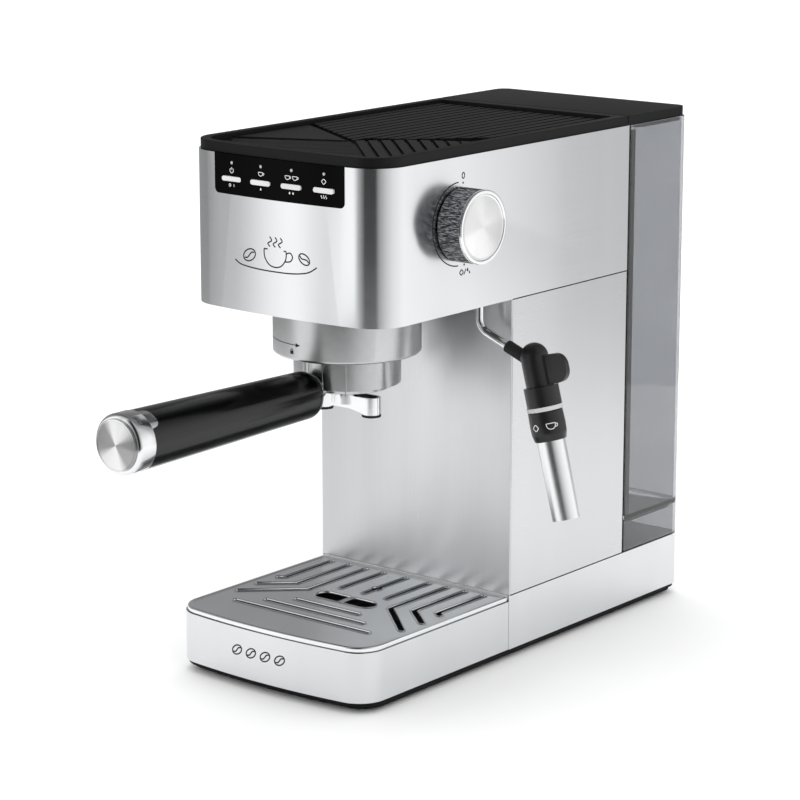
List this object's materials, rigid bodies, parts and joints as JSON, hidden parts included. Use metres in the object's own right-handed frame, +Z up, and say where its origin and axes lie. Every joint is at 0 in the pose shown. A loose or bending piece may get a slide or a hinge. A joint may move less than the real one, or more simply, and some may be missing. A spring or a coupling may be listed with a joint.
{
  "type": "espresso machine",
  "caption": "Slim steel pump espresso machine with a bayonet portafilter, side steam wand and knob, slotted drip tray and a lift-out rear water tank.",
  "frame": {"origin": "centre of the base footprint, on the flat underside of the base pan, which the feet hold 2 mm above the worktop", "axes": "+Z up, front towards -Y, right-hand side with the knob and the steam wand towards +X"},
  "size_m": [0.1964, 0.4259, 0.305],
  "materials": {
    "base_plastic": "moulded, fine grain",
    "foot_rubber": "matt rubber",
    "brushed_skin": "brushed",
    "gland_rubber": "matt rubber",
    "tray_plastic": "moulded",
    "plate_steel": "satin steel, polished rim",
    "frame_plastic": "moulded",
    "polished_skin": "polished steel",
    "satin_skin": "satin",
    "lid_plastic": "matt, fine grain",
    "panel_gloss": "high gloss",
    "key_white": "satin white",
    "light_lens": "frosted",
    "board_green": "printed circuit",
    "knob_grey": "knurled, satin",
    "bright_chrome": "chrome",
    "spun_aluminium": "spun",
    "valve_brass": "turned",
    "bare_steel": "ground",
    "cast_aluminium": "as cast",
    "silicone_red": "silicone",
    "ceramic_white": "ceramic",
    "collar_aluminium": "bead blasted",
    "gasket_rubber": "rubber",
    "grip_black": "gloss",
    "sleeve_rubber": "satin rubber",
    "wand_black": "satin",
    "ring_grey": "satin",
    "nozzle_plastic": "moulded",
    "smoky_tank": "clear smoke tint",
    "valve_plastic": "moulded",
    "pump_plastic": "moulded",
    "hose_silicone": "translucent silicone"
  },
  "bodies": {
    "machine": {"base_pan": "base_plastic", "rubber_feet": "foot_rubber", "base_shell": "brushed_skin", "base_deck": "base_plastic", "cord_gland": "gland_rubber", "column_frame": "frame_plastic", "column_front_panel": "polished_skin", "column_side_left": "satin_skin", "column_side_right": "satin_skin", "rear_wall": "base_plastic", "head_shell": "brushed_skin", "head_floor": "frame_plastic", "top_cover": "lid_plastic", "control_panel": "panel_gloss", "indicator_lights": "light_lens", "control_board": "board_green", "steam_valve": "valve_brass", "boiler_lower": "cast_aluminium", "boiler_upper": "cast_aluminium", "boiler_seal": "silicone_red", "boiler_bolts": "bare_steel", "thermostats": "ceramic_white", "group_collar": "collar_aluminium", "group_head": "cast_aluminium", "group_gasket": "gasket_rubber", "shower_screen": "bare_steel", "shower_screw": "bare_steel", "pipe_gland": "valve_brass", "pump": "pump_plastic", "water_hoses": "hose_silicone"},
    "drip_tray": {"tray_shell": "brushed_skin", "tray_bin": "tray_plastic"},
    "drip_grid": {"drip_plate": "plate_steel"},
    "portafilter": {"portafilter_body": "collar_aluminium", "filter_basket": "bare_steel", "coffee_spout": "bright_chrome", "handle_stud": "bare_steel", "handle_grip": "grip_black", "handle_ring": "bright_chrome", "handle_disc": "spun_aluminium"},
    "power_key": {"button_power": "key_white"},
    "one_cup_key": {"button_one_cup": "key_white"},
    "two_cup_key": {"button_two_cups": "key_white"},
    "steam_key": {"button_steam": "key_white"},
    "knob": {"steam_knob": "knob_grey", "knob_ring": "bright_chrome", "knob_disc": "spun_aluminium", "valve_spindle": "valve_brass"},
    "needle": {"valve_needle": "bare_steel"},
    "wand": {"steam_pipe": "bright_chrome", "pipe_sleeve": "sleeve_rubber", "frother_grip": "wand_black", "frother_ring": "ring_grey", "frother_nozzle": "nozzle_plastic"},
    "selector": {"frother_selector": "wand_black"},
    "froth_tube": {"frother_sleeve": "bright_chrome"},
    "tank": {"water_tank": "smoky_tank", "tank_foot": "base_plastic", "tank_valve": "valve_plastic"},
    "tank_cover": {"tank_lid": "lid_plastic"}
  },
  "joints": [
    {"name": "tray_slide", "type": "slide", "parent": "machine", "child": "drip_tray", "axis": [0, -1, 0], "range_m": [0, 0.13]},
    {"name": "plate_lift", "type": "slide", "parent": "drip_tray", "child": "drip_grid", "axis": [0, 0, 1], "range_m": [0, 0.03]},
    {"name": "portafilter_turn", "type": "hinge", "parent": "machine", "child": "portafilter", "pos_m": [0, -0.082, 0.19], "axis": [0, 0, -1], "range_deg": [0, 45]},
    {"name": "power_press", "type": "slide", "parent": "machine", "child": "power_key", "axis": [0, 1, 0], "range_m": [0, 0.001], "stiffness_N_per_m": 400, "springref_m": -0.0005},
    {"name": "one_cup_press", "type": "slide", "parent": "machine", "child": "one_cup_key", "axis": [0, 1, 0], "range_m": [0, 0.001], "stiffness_N_per_m": 400, "springref_m": -0.0005},
    {"name": "two_cup_press", "type": "slide", "parent": "machine", "child": "two_cup_key", "axis": [0, 1, 0], "range_m": [0, 0.001], "stiffness_N_per_m": 400, "springref_m": -0.0005},
    {"name": "steam_press", "type": "slide", "parent": "machine", "child": "steam_key", "axis": [0, 1, 0], "range_m": [0, 0.001], "stiffness_N_per_m": 400, "springref_m": -0.0005},
    {"name": "knob_turn", "type": "hinge", "parent": "machine", "child": "knob", "pos_m": [0.0705, -0.071, 0.2625], "axis": [1, 0, 0], "range_deg": [0, 180]},
    {"name": "needle_travel", "type": "slide", "parent": "machine", "child": "needle", "axis": [1, 0, 0], "range_m": [0, 0.00076]},
    {"name": "wand_swivel", "type": "hinge", "parent": "machine", "child": "wand", "pos_m": [0.0565, -0.033, 0.22], "axis": [0, 0, 1], "range_deg": [-75, 15]},
    {"name": "selector_turn", "type": "hinge", "parent": "wand", "child": "selector", "pos_m": [0.096, -0.033, 0.18097], "axis": [0.2521, 0, -0.9677], "range_deg": [0, 60]},
    {"name": "sleeve_pull", "type": "slide", "parent": "wand", "child": "froth_tube", "axis": [0.2521, 0, -0.9677], "range_m": [0, 0.045]},
    {"name": "tank_lift", "type": "slide", "parent": "machine", "child": "tank", "axis": [0, 0, 1], "range_m": [0, 0.06]},
    {"name": "lid_flip", "type": "hinge", "parent": "tank", "child": "tank_cover", "pos_m": [0, 0.094, 0.30405], "axis": [1, 0, 0], "range_deg": [0, 80]}
  ],
  "couplings": [
    {"joint": "needle_travel", "follows": "knob_turn", "m_per_rad": 0.000238}
  ]
}
